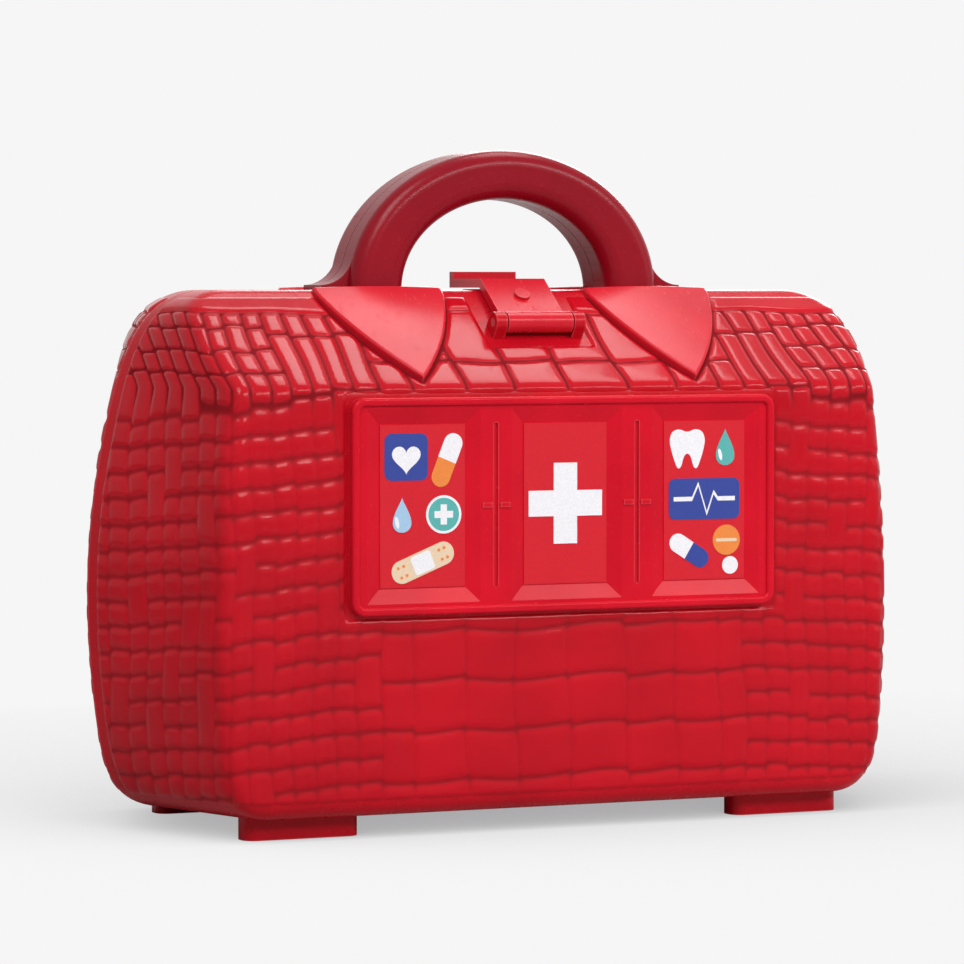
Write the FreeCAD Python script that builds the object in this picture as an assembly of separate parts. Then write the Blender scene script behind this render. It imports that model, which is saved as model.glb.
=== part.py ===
import FreeCAD
import Part
import math
import os

# Toy doctor case: a moulded clamshell bag that stands on four feet, front towards -Y, width along X.
# The two halves meet at the plane y = 0 and swing on two pins along the bottom edge.
# All sizes are in millimetres.

# Body
CASE_WIDTH = 248.0
FRONT_WIDTH = 204.0
DECK_HEIGHT = 151.0
FOOT_HEIGHT = 6.0
HALF_DEPTH = 48.0
SLOPE_DROP = 27.0
DECK_HALF_DEPTH = 12.0
WALL = 2.4
EDGE_RADIUS = 5.0
SEAM_GAP = 0.4
LIP_REACH = 1.8
LIP_THICKNESS = 1.2
LIP_GAP = 0.3
LIP_ROOT = 3.0

# Feet
FOOT_LENGTH = 34.0
FOOT_DEPTH = 9.0
FOOT_SETBACK = 8.5
FOOT_END_GAP = 10.0

# Bottom hinges
HINGE_HEIGHT = 4.0
KNUCKLE_RADIUS = 3.4
KNUCKLE_LENGTH = 10.0
KNUCKLE_GAP = 0.4
HINGE_SHARE = 0.25
HINGE_PIN_RADIUS = 1.5
RUNNING_CLEARANCE = 0.06
TIGHT_CLEARANCE = 0.02
NOTCH_CLEARANCE = 0.5
KNUCKLE_WEB = 6.0
OVERLAP = 0.5

# Handle arch, one half
HANDLE_HALF_WIDTH = 48.0
HANDLE_HEIGHT = 40.0
HANDLE_LEG_WIDTH = 16.0
HANDLE_BAND = 14.0
HANDLE_SETBACK = 1.0
HANDLE_FLARE_RADIUS = 10.0
HANDLE_TOE = 1.4
HANDLE_EDGE_RADIUS = 4.6
HANDLE_WALL = 2.4
HANDLE_PEG_RADIUS = 3.0
PEG_REACH = 2.0

# Strap tabs
TAB_WIDTH = 39.0
TAB_TIP_GAP = 2.6
TAB_STRAIGHT = 3.0
TAB_THICKNESS = 2.7
TAB_CROWN_RADIUS = 320.0
TAB_EDGE_RADIUS = 0.8
TAB_BOW_ACROSS = 0.60
TAB_BOW_DOWN = 0.55
TAB_OFFSET = 2.0
TAB_TOP_OFFSET = 0.4
TAB_PEG_RADIUS = 2.0
PEG_CLEARANCE = 0.05

# Panel with three windows
PANEL_END_MARGIN = 8.6
PANEL_EDGE_MARGIN = 7.25
PANEL_TOP_GAP = 2.5
PANEL_THICKNESS = 2.1
PANEL_CORNER_RADIUS = 4.0
PANEL_LIP_WIDTH = 2.4
PANEL_LIP_HEIGHT = 1.0
PANEL_LIP_RADIUS = 0.9
WINDOW_WIDTH = 26.0
WINDOW_HEIGHT = 45.5
WINDOW_SPACING = 43.4
WINDOW_DEPTH = 1.4
WINDOW_BEVEL = 4.0
DIVIDER_GROOVE = 1.2
DIVIDER_RIB_LENGTH = 4.2
DIVIDER_RIB_HEIGHT = 1.4
DIVIDER_RIB_RISE = 0.4
PANEL_PEG_RADIUS = 2.0
PANEL_PEG_INSET = 6.5

# Labels
STICKER_THICKNESS = 0.25
STICKER_MARGIN = 0.3

# Clasp
CLASP_WIDTH = 20.0
CLASP_THICKNESS = 2.6
CLASP_GAP = 0.6
CLASP_REACH = 9.0
CLASP_PIVOT_DOWN = 20.0
CLASP_PIVOT_LIFT = 3.6
CLASP_BOSS_RADIUS = 3.0
CLASP_PIN_RADIUS = 1.2
CLASP_LIP_LENGTH = 2.4
CLASP_LIP_RISE = 2.0
CLASP_NUB_RADIUS = 2.2
CLASP_NUB_RISE = 0.9
CLASP_NUB_DOWN = 7.0
EAR_THICKNESS = 3.4
EAR_GAP = 0.4
EAR_RADIUS = 3.0
CATCH_WIDTH = 14.0
CATCH_DEPTH = 1.6
CATCH_HEIGHT = 0.2
CATCH_OFFSET = 4.5

Vec = FreeCAD.Vector

# Leading points of the right-hand side curve, as shares of the half width and of the height from floor to deck
PARTING_SIDE = [(0.82, 0.0), (0.96, 0.0), (1.0, 0.16), (1.03, 0.46), (0.97, 0.80), (0.87, 1.0), (0.72, 1.0)]
FRONT_SIDE = [(0.84, 0.0), (0.97, 0.0), (1.0, 0.16), (1.01, 0.46), (0.97, 0.80), (0.93, 1.0), (0.86, 1.0)]
CURVE_SAMPLES = 200

# Places that follow from the sizes above
FOOT_FRONT = HALF_DEPTH - FOOT_SETBACK
FOOT_SPACING = FRONT_WIDTH - FOOT_LENGTH - 2 * FOOT_END_GAP
HINGE_SPACING = CASE_WIDTH * HINGE_SHARE
HANDLE_HALF_DEPTH = DECK_HALF_DEPTH - HANDLE_SETBACK - SEAM_GAP / 2
HANDLE_LEG_X = HANDLE_HALF_WIDTH - HANDLE_LEG_WIDTH / 2
HANDLE_GAP_HALF_WIDTH = HANDLE_HALF_WIDTH - HANDLE_LEG_WIDTH
HANDLE_GAP_HEIGHT = HANDLE_HEIGHT - HANDLE_BAND
TAB_X = HANDLE_LEG_X + TAB_OFFSET
PANEL_WIDTH = 2 * WINDOW_SPACING + WINDOW_WIDTH + 2 * PANEL_END_MARGIN
PANEL_HEIGHT = WINDOW_HEIGHT + 2 * PANEL_EDGE_MARGIN

# The upper front slope runs from the rim down to the front plane.
SLOPE_START = DECK_HEIGHT - SLOPE_DROP
SLOPE_RUN = HALF_DEPTH - DECK_HALF_DEPTH
SLOPE_LENGTH = math.hypot(SLOPE_RUN, SLOPE_DROP)
SLOPE_ALONG = Vec(0, -SLOPE_RUN / SLOPE_LENGTH, -SLOPE_DROP / SLOPE_LENGTH)
SLOPE_OUT = Vec(0, -SLOPE_DROP / SLOPE_LENGTH, SLOPE_RUN / SLOPE_LENGTH)
SLOPE_TILT = math.degrees(math.atan2(SLOPE_DROP, SLOPE_RUN))
RIM_POINT = Vec(0, -DECK_HALF_DEPTH, DECK_HEIGHT)
TAB_LENGTH = SLOPE_LENGTH - TAB_TOP_OFFSET - TAB_TIP_GAP

# Two lengths closer than this are the same when edges are picked out.
NEAR = 0.01

# Steps of halving that find a place on a curve.
HALVINGS = 40


def on_slope(across, down, out):
    """Point on the front slope: across along X, down from the rim, out from the surface."""
    return RIM_POINT + Vec(across, 0, 0) + SLOPE_ALONG * down + SLOPE_OUT * out


def box(x0, x1, y0, y1, z0, z1):
    return Part.makeBox(x1 - x0, y1 - y0, z1 - z0, Vec(x0, y0, z0))


def rod_x(radius, x0, x1, y, z):
    return Part.makeCylinder(radius, x1 - x0, Vec(x0, y, z), Vec(1, 0, 0))


def slab(y0, y1):
    """All of the case between two depths."""
    return box(-CASE_WIDTH, CASE_WIDTH, y0, y1, -DECK_HEIGHT, 2 * DECK_HEIGHT)


def one_solid(shape):
    """The single solid of a cut or fused shape."""
    return shape.removeSplitter().Solids[0]


def mirror_y(shape):
    return shape.mirror(Vec(0, 0, 0), Vec(0, 1, 0))


def side_curve(shares, half_width, y, floor_z, top_z):
    """Smooth right-hand side that leaves the floor and meets the deck level, as wide as half_width at most."""

    def curve(scale):
        poles = [Vec(across * scale, y, floor_z + up * (top_z - floor_z)) for across, up in shares]
        spline = Part.BSplineCurve()
        spline.buildFromPoles(poles, False, 3)
        return spline

    unit = curve(1.0)
    widest = max(unit.value(step / CURVE_SAMPLES).x for step in range(CURVE_SAMPLES + 1))
    return curve(half_width / widest)


def body_wire(shares, half_width, y, inset):
    """Closed outline of the body at depth y: flat floor and deck, smooth bulging sides."""
    floor_z = FOOT_HEIGHT + inset
    top_z = DECK_HEIGHT - inset
    side = side_curve(shares, half_width - inset, y, floor_z, top_z)
    right_edge = side.toShape()
    left_edge = right_edge.mirror(Vec(0, 0, 0), Vec(1, 0, 0))
    low = side.StartPoint
    high = side.EndPoint
    floor_edge = Part.makeLine(Vec(-low.x, y, low.z), low)
    deck_edge = Part.makeLine(high, Vec(-high.x, y, high.z))
    return Part.Wire(Part.sortEdges([floor_edge, right_edge, deck_edge, left_edge])[0])


def side_profile(inset):
    """Prism with the side profile of the front half: floor, front face, slope and deck."""
    floor_z = FOOT_HEIGHT + inset
    front_y = -HALF_DEPTH + inset
    top_z = DECK_HEIGHT - inset
    inner_rim = RIM_POINT - SLOPE_OUT * inset
    drop_per_run = SLOPE_DROP / SLOPE_RUN
    crease_z = inner_rim.z - (inner_rim.y - front_y) * drop_per_run
    rim_y = inner_rim.y - (inner_rim.z - top_z) / drop_per_run
    points = [
        Vec(-CASE_WIDTH, 1, floor_z),
        Vec(-CASE_WIDTH, front_y, floor_z),
        Vec(-CASE_WIDTH, front_y, crease_z),
        Vec(-CASE_WIDTH, rim_y, top_z),
        Vec(-CASE_WIDTH, 1, top_z),
    ]
    face = Part.Face(Part.makePolygon(points + points[:1]))
    return face.extrude(Vec(2 * CASE_WIDTH, 0, 0))


def half_body(inset):
    """Rounded solid of the front half, set in by a wall for the hollow inside."""
    parting_y = -SEAM_GAP / 2 if inset == 0 else 0
    parting = body_wire(PARTING_SIDE, CASE_WIDTH / 2, parting_y, inset)
    front = body_wire(FRONT_SIDE, FRONT_WIDTH / 2, -HALF_DEPTH + inset, inset)
    solid = Part.makeLoft([parting, front], True, True).common(side_profile(inset)).Solids[0]
    front_y = -HALF_DEPTH + inset
    behind_seam = -SEAM_GAP - NEAR
    rounded = []
    for edge in solid.Edges:
        ys = [v.Point.y for v in edge.Vertexes]
        zs = [v.Point.z for v in edge.Vertexes]
        on_front = max(ys) < front_y + NEAR
        on_slope_side = max(ys) < behind_seam and max(zs) > SLOPE_START - inset
        if on_front or on_slope_side:
            rounded.append(edge)
    return solid.makeFillet(EDGE_RADIUS - inset, rounded)


def arch_line(half_width, height):
    """Upper half of an ellipse that stands on the deck, at the parting face."""
    centre = Vec(0, -SEAM_GAP / 2, DECK_HEIGHT)
    top = centre + Vec(0, 0, height)
    if half_width >= height:
        ellipse = Part.Ellipse(centre + Vec(half_width, 0, 0), top, centre)
        start = 0
    else:
        ellipse = Part.Ellipse(top, centre - Vec(half_width, 0, 0), centre)
        start = -math.pi / 2
    return Part.ArcOfEllipse(ellipse, start, start + math.pi).toShape()


def arch_block(half_width, height, depth):
    """Solid under an arch line, from the parting face forward."""
    line = arch_line(half_width, height)
    base = Part.makeLine(line.Vertexes[-1].Point, line.Vertexes[0].Point)
    return Part.Face(Part.Wire([line, base])).extrude(Vec(0, -depth, 0))


def arch_half():
    """Half of the flat arch that stands on the deck, rounded along its front edges."""
    opening = arch_block(HANDLE_GAP_HALF_WIDTH, HANDLE_GAP_HEIGHT, HANDLE_HALF_DEPTH)
    arch = arch_block(HANDLE_HALF_WIDTH, HANDLE_HEIGHT, HANDLE_HALF_DEPTH).cut(opening)
    front_y = -SEAM_GAP / 2 - HANDLE_HALF_DEPTH
    rounded = []
    for edge in arch.Edges:
        middle = edge.CenterOfMass
        if middle.y < front_y + NEAR and middle.z > DECK_HEIGHT + NEAR:
            rounded.append(edge)
    return arch.makeFillet(HANDLE_EDGE_RADIUS, rounded)


def flare_round(outside):
    """Centre of the round between the arch line and the foot of a leg, and the point where it meets the arch."""
    near = HANDLE_HALF_WIDTH
    far = HANDLE_HALF_WIDTH + 2 * HANDLE_FLARE_RADIUS
    height = DECK_HEIGHT + HANDLE_TOE + HANDLE_FLARE_RADIUS
    for _ in range(HALVINGS):
        centre = Vec((near + far) / 2, -SEAM_GAP / 2, height)
        distance, points, _ = Part.Vertex(centre).distToShape(outside)
        if distance < HANDLE_FLARE_RADIUS:
            near = centre.x
        else:
            far = centre.x
    return centre, points[0][1]


def leg_flare():
    """Hollow curve between the outside of the right-hand handle leg and the deck."""
    centre, meet = flare_round(arch_line(HANDLE_HALF_WIDTH, HANDLE_HEIGHT))
    half_way = (meet - centre).normalize() + Vec(0, 0, -1)
    bend = centre + half_way.normalize() * HANDLE_FLARE_RADIUS
    inside = meet.x - HANDLE_WALL
    heel = Vec(centre.x, centre.y, DECK_HEIGHT)
    toe = heel + Vec(0, 0, HANDLE_TOE)
    top = Vec(inside, centre.y, meet.z)
    base = Vec(inside, centre.y, DECK_HEIGHT)
    edges = [
        Part.makeLine(heel, toe),
        Part.Arc(toe, bend, meet).toShape(),
        Part.makeLine(meet, top),
        Part.makeLine(top, base),
        Part.makeLine(base, heel),
    ]
    return Part.Face(Part.Wire(edges)).extrude(Vec(0, HANDLE_EDGE_RADIUS - HANDLE_HALF_DEPTH, 0))


def handle_pegs(clearance):
    """Two pegs of a handle half that go through the deck."""
    peg_y = -SEAM_GAP / 2 - HANDLE_HALF_DEPTH / 2
    length = HANDLE_WALL / 2 + WALL + PEG_REACH
    radius = HANDLE_PEG_RADIUS + clearance
    base_z = DECK_HEIGHT - WALL - PEG_REACH
    return [Part.makeCylinder(radius, length, Vec(side * HANDLE_LEG_X, peg_y, base_z)) for side in (-1, 1)]


def arch_ring(outer_inset, inner_inset, depth):
    """Ring along the inside of the arch, between two distances from its outside."""
    outer = arch_block(HANDLE_HALF_WIDTH - outer_inset, HANDLE_HEIGHT - outer_inset, depth)
    inner = arch_block(HANDLE_HALF_WIDTH - inner_inset, HANDLE_HEIGHT - inner_inset, depth)
    return outer.cut(inner)


def handle_lip():
    """Lip inside the handle's seam: its root is in this half, its edge reaches into the other half."""
    outside = HANDLE_WALL + LIP_GAP
    reach = SEAM_GAP + LIP_REACH
    tongue = arch_ring(outside, outside + LIP_THICKNESS, reach + LIP_ROOT)
    tongue.translate(Vec(0, reach, 0))
    root = arch_ring(HANDLE_WALL - LIP_GAP, outside + LIP_GAP, LIP_ROOT)
    lowest = DECK_HEIGHT + HANDLE_WALL + LIP_GAP
    above = box(-CASE_WIDTH, CASE_WIDTH, -HALF_DEPTH, HALF_DEPTH, lowest, lowest + HANDLE_HEIGHT)
    return tongue.fuse(root).common(above)


def handle_half(half):
    """Half of the handle in the place of the front half: a hollow arch, open at the seam, with two pegs."""
    hollow_depth = HANDLE_HALF_DEPTH - HANDLE_WALL
    hollow = arch_block(HANDLE_HALF_WIDTH - HANDLE_WALL, HANDLE_HEIGHT - HANDLE_WALL, hollow_depth)
    core = arch_block(HANDLE_GAP_HALF_WIDTH + HANDLE_WALL, HANDLE_GAP_HEIGHT + HANDLE_WALL, hollow_depth)
    hollow_floor = DECK_HEIGHT + HANDLE_WALL
    above_floor = box(-CASE_WIDTH, CASE_WIDTH, -HALF_DEPTH, 0, hollow_floor, hollow_floor + HANDLE_HEIGHT)
    hollow = hollow.cut(core).common(above_floor)
    flare = leg_flare()
    arch = arch_half().multiFuse([flare, flare.mirror(Vec(0, 0, 0), Vec(1, 0, 0))]).cut(hollow)
    parts = handle_pegs(0)
    if half == "rear":
        parts.append(handle_lip())
    return one_solid(arch.multiFuse(parts))


def lay_on_slope(shape, centre_x):
    """Moves a shape that was made flat, with -Y down the slope and +Z out of it, to its place below the rim."""
    placed = shape.copy()
    placed.Placement = FreeCAD.Placement(RIM_POINT + Vec(centre_x, 0, 0), FreeCAD.Rotation(Vec(1, 0, 0), SLOPE_TILT))
    return placed


def tab_peg(clearance):
    """Peg of a strap tab through the slope, made flat."""
    length = TAB_THICKNESS / 2 + WALL + PEG_REACH
    start = Vec(0, -TAB_TOP_OFFSET - TAB_LENGTH / 2, TAB_THICKNESS / 2 - length)
    return Part.makeCylinder(TAB_PEG_RADIUS + clearance, length, start)


def strap_tab():
    """Smooth, slightly crowned, pointed tab for the slope below a handle leg, laid flat."""
    half = TAB_WIDTH / 2
    top = -TAB_TOP_OFFSET
    shoulder = top - TAB_STRAIGHT
    tip = top - TAB_LENGTH
    bow_across = half * TAB_BOW_ACROSS
    bow_down = shoulder + (tip - shoulder) * TAB_BOW_DOWN
    edges = [
        Part.makeLine(Vec(half, top, 0), Vec(-half, top, 0)),
        Part.makeLine(Vec(-half, top, 0), Vec(-half, shoulder, 0)),
        Part.Arc(Vec(-half, shoulder, 0), Vec(-bow_across, bow_down, 0), Vec(0, tip, 0)).toShape(),
        Part.Arc(Vec(0, tip, 0), Vec(bow_across, bow_down, 0), Vec(half, shoulder, 0)).toShape(),
        Part.makeLine(Vec(half, shoulder, 0), Vec(half, top, 0)),
    ]
    plate = Part.Face(Part.Wire(edges)).extrude(Vec(0, 0, TAB_THICKNESS))
    middle = Vec(0, top - TAB_LENGTH / 2, TAB_THICKNESS - TAB_CROWN_RADIUS)
    crown = Part.makeSphere(TAB_CROWN_RADIUS, middle, Vec(1, 0, 0), -90, 90, 360)
    crown.rotate(middle, Vec(1, 0, 0), 180)
    plate = plate.common(crown).Solids[0]
    top_face = max(plate.Faces, key=lambda face: face.CenterOfMass.z)
    plate = plate.makeFillet(TAB_EDGE_RADIUS, top_face.Edges)
    return one_solid(plate.fuse(tab_peg(0)))


def rounded_plate(width, height, radius, z_middle, y_back, y_front):
    """Upright plate with rounded corners, in front of y_back."""
    plate = box(-width / 2, width / 2, y_front, y_back, z_middle - height / 2, z_middle + height / 2)
    corners = []
    for edge in plate.Edges:
        ends = edge.Vertexes
        if abs(ends[0].Point.y - ends[1].Point.y) > NEAR:
            corners.append(edge)
    return plate.makeFillet(radius, corners)


def upright_rectangle(x_middle, y, z_middle, width, height):
    left = x_middle - width / 2
    right = x_middle + width / 2
    low = z_middle - height / 2
    high = z_middle + height / 2
    corners = [Vec(left, y, low), Vec(right, y, low), Vec(right, y, high), Vec(left, y, high)]
    return Part.makePolygon(corners + corners[:1])


PANEL_MIDDLE = SLOPE_START - PANEL_TOP_GAP - PANEL_HEIGHT / 2
PANEL_FACE_Y = -HALF_DEPTH - PANEL_THICKNESS
WINDOW_FLOOR_Y = PANEL_FACE_Y + WINDOW_DEPTH
WINDOW_CENTRES = {"left": -WINDOW_SPACING, "cross": 0.0, "right": WINDOW_SPACING}


def panel_pegs(clearance):
    """Four pegs of the panel through the front wall."""
    pegs = []
    for side in (-1, 1):
        for level in (-1, 1):
            x = side * (PANEL_WIDTH / 2 - PANEL_PEG_INSET)
            z = PANEL_MIDDLE + level * (PANEL_HEIGHT / 2 - PANEL_PEG_INSET)
            start = Vec(x, -HALF_DEPTH - PANEL_THICKNESS / 4, z)
            length = PANEL_THICKNESS / 4 + WALL + PEG_REACH
            pegs.append(Part.makeCylinder(PANEL_PEG_RADIUS + clearance, length, start, Vec(0, 1, 0)))
    return pegs


def sticker_panel():
    """Raised frame with a rounded lip along its edge and three bevelled windows."""
    plate = rounded_plate(PANEL_WIDTH, PANEL_HEIGHT, PANEL_CORNER_RADIUS, PANEL_MIDDLE, -HALF_DEPTH,
                          PANEL_FACE_Y - PANEL_LIP_HEIGHT)
    field = rounded_plate(PANEL_WIDTH - 2 * PANEL_LIP_WIDTH, PANEL_HEIGHT - 2 * PANEL_LIP_WIDTH,
                          PANEL_CORNER_RADIUS - PANEL_LIP_WIDTH, PANEL_MIDDLE, PANEL_FACE_Y,
                          PANEL_FACE_Y - PANEL_LIP_HEIGHT)
    panel = plate.cut(field)
    lip_face = min(panel.Faces, key=lambda face: face.CenterOfMass.y)
    panel = panel.makeFillet(PANEL_LIP_RADIUS, lip_face.Edges)
    for centre in WINDOW_CENTRES.values():
        mouth = upright_rectangle(centre, PANEL_FACE_Y, PANEL_MIDDLE, WINDOW_WIDTH + 2 * WINDOW_BEVEL,
                                  WINDOW_HEIGHT + 2 * WINDOW_BEVEL)
        floor = upright_rectangle(centre, WINDOW_FLOOR_Y, PANEL_MIDDLE, WINDOW_WIDTH, WINDOW_HEIGHT)
        panel = panel.cut(Part.makeLoft([mouth, floor], True, True))
    ribs = []
    for side in (-1, 1):
        x = side * WINDOW_SPACING / 2
        half = WINDOW_HEIGHT / 2
        groove = box(x - DIVIDER_GROOVE / 2, x + DIVIDER_GROOVE / 2, PANEL_FACE_Y, PANEL_FACE_Y + DIVIDER_GROOVE / 2,
                     PANEL_MIDDLE - half, PANEL_MIDDLE + half)
        panel = panel.cut(groove)
        for way in (-1, 1):
            near = x + way * DIVIDER_GROOVE
            far = x + way * DIVIDER_RIB_LENGTH
            ribs.append(box(min(near, far), max(near, far), PANEL_FACE_Y - DIVIDER_RIB_RISE, PANEL_FACE_Y + OVERLAP,
                            PANEL_MIDDLE - DIVIDER_RIB_HEIGHT / 2, PANEL_MIDDLE + DIVIDER_RIB_HEIGHT / 2))
    return one_solid(panel.multiFuse(ribs + panel_pegs(0)))


def sticker(centre):
    """Printed label on the floor of a window."""
    width = WINDOW_WIDTH - 2 * STICKER_MARGIN
    height = WINDOW_HEIGHT - 2 * STICKER_MARGIN
    return box(centre - width / 2, centre + width / 2, WINDOW_FLOOR_Y - STICKER_THICKNESS, WINDOW_FLOOR_Y,
               PANEL_MIDDLE - height / 2, PANEL_MIDDLE + height / 2)


CLASP_PIVOT = on_slope(0, CLASP_PIVOT_DOWN, CLASP_PIVOT_LIFT)
EAR_INSIDE = CLASP_WIDTH / 2 + EAR_GAP
EAR_OUTSIDE = EAR_INSIDE + EAR_THICKNESS


def strap_profile(points, half_width):
    """Prism across the middle of the case from points in the plane x = 0."""
    moved = [Vec(-half_width, p.y, p.z) for p in points]
    return Part.Face(Part.makePolygon(moved + moved[:1])).extrude(Vec(2 * half_width, 0, 0))


def clasp():
    """Clasp that lies on the slope and the deck and swings on a pin at its lower end."""
    corner = (SLOPE_OUT + Vec(0, 0, 1)) * (1 / (1 + SLOPE_OUT.z))
    low = CLASP_GAP
    high = CLASP_GAP + CLASP_THICKNESS
    under_z = DECK_HEIGHT + low
    top_z = DECK_HEIGHT + high
    lip_y = CLASP_REACH - CLASP_LIP_LENGTH
    points = [
        on_slope(0, CLASP_PIVOT_DOWN, low),
        RIM_POINT + corner * low,
        Vec(0, CLASP_REACH, under_z),
        Vec(0, CLASP_REACH, top_z + CLASP_LIP_RISE),
        Vec(0, lip_y, top_z + CLASP_LIP_RISE),
        Vec(0, lip_y, top_z),
        RIM_POINT + corner * high,
        on_slope(0, CLASP_PIVOT_DOWN, high),
    ]
    strap = strap_profile(points, CLASP_WIDTH / 2)
    boss = rod_x(CLASP_BOSS_RADIUS, -CLASP_WIDTH / 2, CLASP_WIDTH / 2, CLASP_PIVOT.y, CLASP_PIVOT.z)
    nub_base = on_slope(0, CLASP_NUB_DOWN, high - OVERLAP)
    nub = Part.makeCylinder(CLASP_NUB_RADIUS, OVERLAP + CLASP_NUB_RISE, nub_base, SLOPE_OUT)
    bore = rod_x(CLASP_PIN_RADIUS + RUNNING_CLEARANCE, -CLASP_WIDTH, CLASP_WIDTH, CLASP_PIVOT.y, CLASP_PIVOT.z)
    return one_solid(strap.multiFuse([boss, nub]).cut(bore))


def clasp_pin():
    return rod_x(CLASP_PIN_RADIUS, -EAR_OUTSIDE, EAR_OUTSIDE, CLASP_PIVOT.y, CLASP_PIVOT.z)


def clasp_ears():
    """Two ears on the slope that hold the clasp pin."""
    foot = [
        on_slope(0, CLASP_PIVOT_DOWN - EAR_RADIUS, -OVERLAP),
        on_slope(0, CLASP_PIVOT_DOWN + EAR_RADIUS, -OVERLAP),
        on_slope(0, CLASP_PIVOT_DOWN + EAR_RADIUS, CLASP_PIVOT_LIFT),
        on_slope(0, CLASP_PIVOT_DOWN - EAR_RADIUS, CLASP_PIVOT_LIFT),
    ]
    both = strap_profile(foot, EAR_OUTSIDE)
    both = both.fuse(rod_x(EAR_RADIUS, -EAR_OUTSIDE, EAR_OUTSIDE, CLASP_PIVOT.y, CLASP_PIVOT.z))
    between = box(-EAR_INSIDE, EAR_INSIDE, -HALF_DEPTH, 0, SLOPE_START, DECK_HEIGHT + HANDLE_HEIGHT)
    bore = rod_x(CLASP_PIN_RADIUS + TIGHT_CLEARANCE, -EAR_OUTSIDE - 1, EAR_OUTSIDE + 1, CLASP_PIVOT.y, CLASP_PIVOT.z)
    return both.cut(between).cut(bore)


def knuckle_spans(half):
    """X ranges of the hinge knuckles of one half; the front half has the middle ones."""
    spans = []
    for side in (-1, 1):
        middle = side * HINGE_SPACING
        inner = KNUCKLE_LENGTH / 2
        outer = inner + KNUCKLE_GAP
        if half == "front":
            spans.append((middle - inner, middle + inner))
        else:
            spans.append((middle - outer - KNUCKLE_LENGTH, middle - outer))
            spans.append((middle + outer, middle + outer + KNUCKLE_LENGTH))
    return spans


def hinge_pin(side):
    reach = KNUCKLE_LENGTH * 1.5 + KNUCKLE_GAP
    middle = side * HINGE_SPACING
    return rod_x(HINGE_PIN_RADIUS, middle - reach, middle + reach, 0, HINGE_HEIGHT)


def feet():
    """Two feet under the front half."""
    pads = []
    for side in (-1, 1):
        middle = side * FOOT_SPACING / 2
        pad = box(middle - FOOT_LENGTH / 2, middle + FOOT_LENGTH / 2, -FOOT_FRONT, -FOOT_FRONT + FOOT_DEPTH,
                  0, FOOT_HEIGHT + OVERLAP)
        upright = []
        for edge in pad.Edges:
            ends = edge.Vertexes
            if abs(ends[0].Point.z - ends[1].Point.z) > NEAR:
                upright.append(edge)
        pads.append(pad.makeFillet(FOOT_DEPTH * 0.4, upright))
    return pads


def knuckles(spans, bore_clearance):
    """Barrels round the hinge line, each with a web to the floor of the front half."""
    barrels = []
    for x0, x1 in spans:
        barrel = rod_x(KNUCKLE_RADIUS, x0, x1, 0, HINGE_HEIGHT)
        web = box(x0, x1, -KNUCKLE_WEB, 0, HINGE_HEIGHT, FOOT_HEIGHT + OVERLAP)
        bore = rod_x(HINGE_PIN_RADIUS + bore_clearance, x0 - 1, x1 + 1, 0, HINGE_HEIGHT)
        barrels.append(barrel.fuse(web).cut(bore))
    return barrels


def knuckle_notches(spans):
    """Room in one half for the knuckles of the other half."""
    notches = []
    for x0, x1 in spans:
        notches.append(rod_x(KNUCKLE_RADIUS + NOTCH_CLEARANCE, x0 - KNUCKLE_GAP, x1 + KNUCKLE_GAP, 0, HINGE_HEIGHT))
    return notches


def locating_lip():
    """Lip inside the seam: its root is in this half, its edge reaches into the other half."""
    outer = half_body(WALL + LIP_GAP)
    hollow = half_body(WALL + LIP_GAP + LIP_THICKNESS)
    edge_ring = mirror_y(outer.cut(hollow)).common(slab(0, LIP_REACH))
    root_ring = half_body(WALL - LIP_GAP).cut(hollow).common(slab(-LIP_ROOT, 0))
    return edge_ring.fuse(root_ring)


def half_shell(half):
    """Hollow half of the case in the place of the front half, with feet, hinge knuckles and peg holes."""
    other = "rear" if half == "front" else "front"
    shell = half_body(0).cut(half_body(WALL))
    shell = shell.multiFuse(feet())
    for notch in knuckle_notches(knuckle_spans(other)):
        shell = shell.cut(notch)
    bore_clearance = RUNNING_CLEARANCE if half == "front" else TIGHT_CLEARANCE
    shell = shell.multiFuse(knuckles(knuckle_spans(half), bore_clearance))
    holes = handle_pegs(PEG_CLEARANCE)
    for side in (-1, 1):
        holes.append(lay_on_slope(tab_peg(PEG_CLEARANCE), side * TAB_X))
    if half == "front":
        shell = shell.fuse(clasp_ears())
        holes += panel_pegs(PEG_CLEARANCE)
    else:
        catch = box(-CATCH_WIDTH / 2, CATCH_WIDTH / 2, -CATCH_OFFSET - CATCH_DEPTH, -CATCH_OFFSET,
                    DECK_HEIGHT - OVERLAP, DECK_HEIGHT + CATCH_HEIGHT)
        shell = shell.multiFuse([catch, locating_lip()])
    for hole in holes:
        shell = shell.cut(hole)
    return one_solid(shell)


def build():
    left_tab = lay_on_slope(strap_tab(), -TAB_X)
    right_tab = lay_on_slope(strap_tab(), TAB_X)
    return {
        "front_shell": half_shell("front"),
        "rear_shell": mirror_y(half_shell("rear")),
        "front_handle": handle_half("front"),
        "rear_handle": mirror_y(handle_half("rear")),
        "front_left_tab": left_tab,
        "front_right_tab": right_tab,
        "rear_left_tab": mirror_y(left_tab),
        "rear_right_tab": mirror_y(right_tab),
        "sticker_panel": sticker_panel(),
        "left_sticker": sticker(WINDOW_CENTRES["left"]),
        "cross_sticker": sticker(WINDOW_CENTRES["cross"]),
        "right_sticker": sticker(WINDOW_CENTRES["right"]),
        "clasp": clasp(),
        "clasp_pin": clasp_pin(),
        "left_hinge_pin": hinge_pin(-1),
        "right_hinge_pin": hinge_pin(1),
    }


os.makedirs("parts", exist_ok=True)
for node, shape in build().items():
    shape.exportStep(f"parts/{node}.step")
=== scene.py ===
"""Looks of the toy doctor case: embossed skins, printed labels, plastics, light and camera."""
import math
import random

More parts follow.
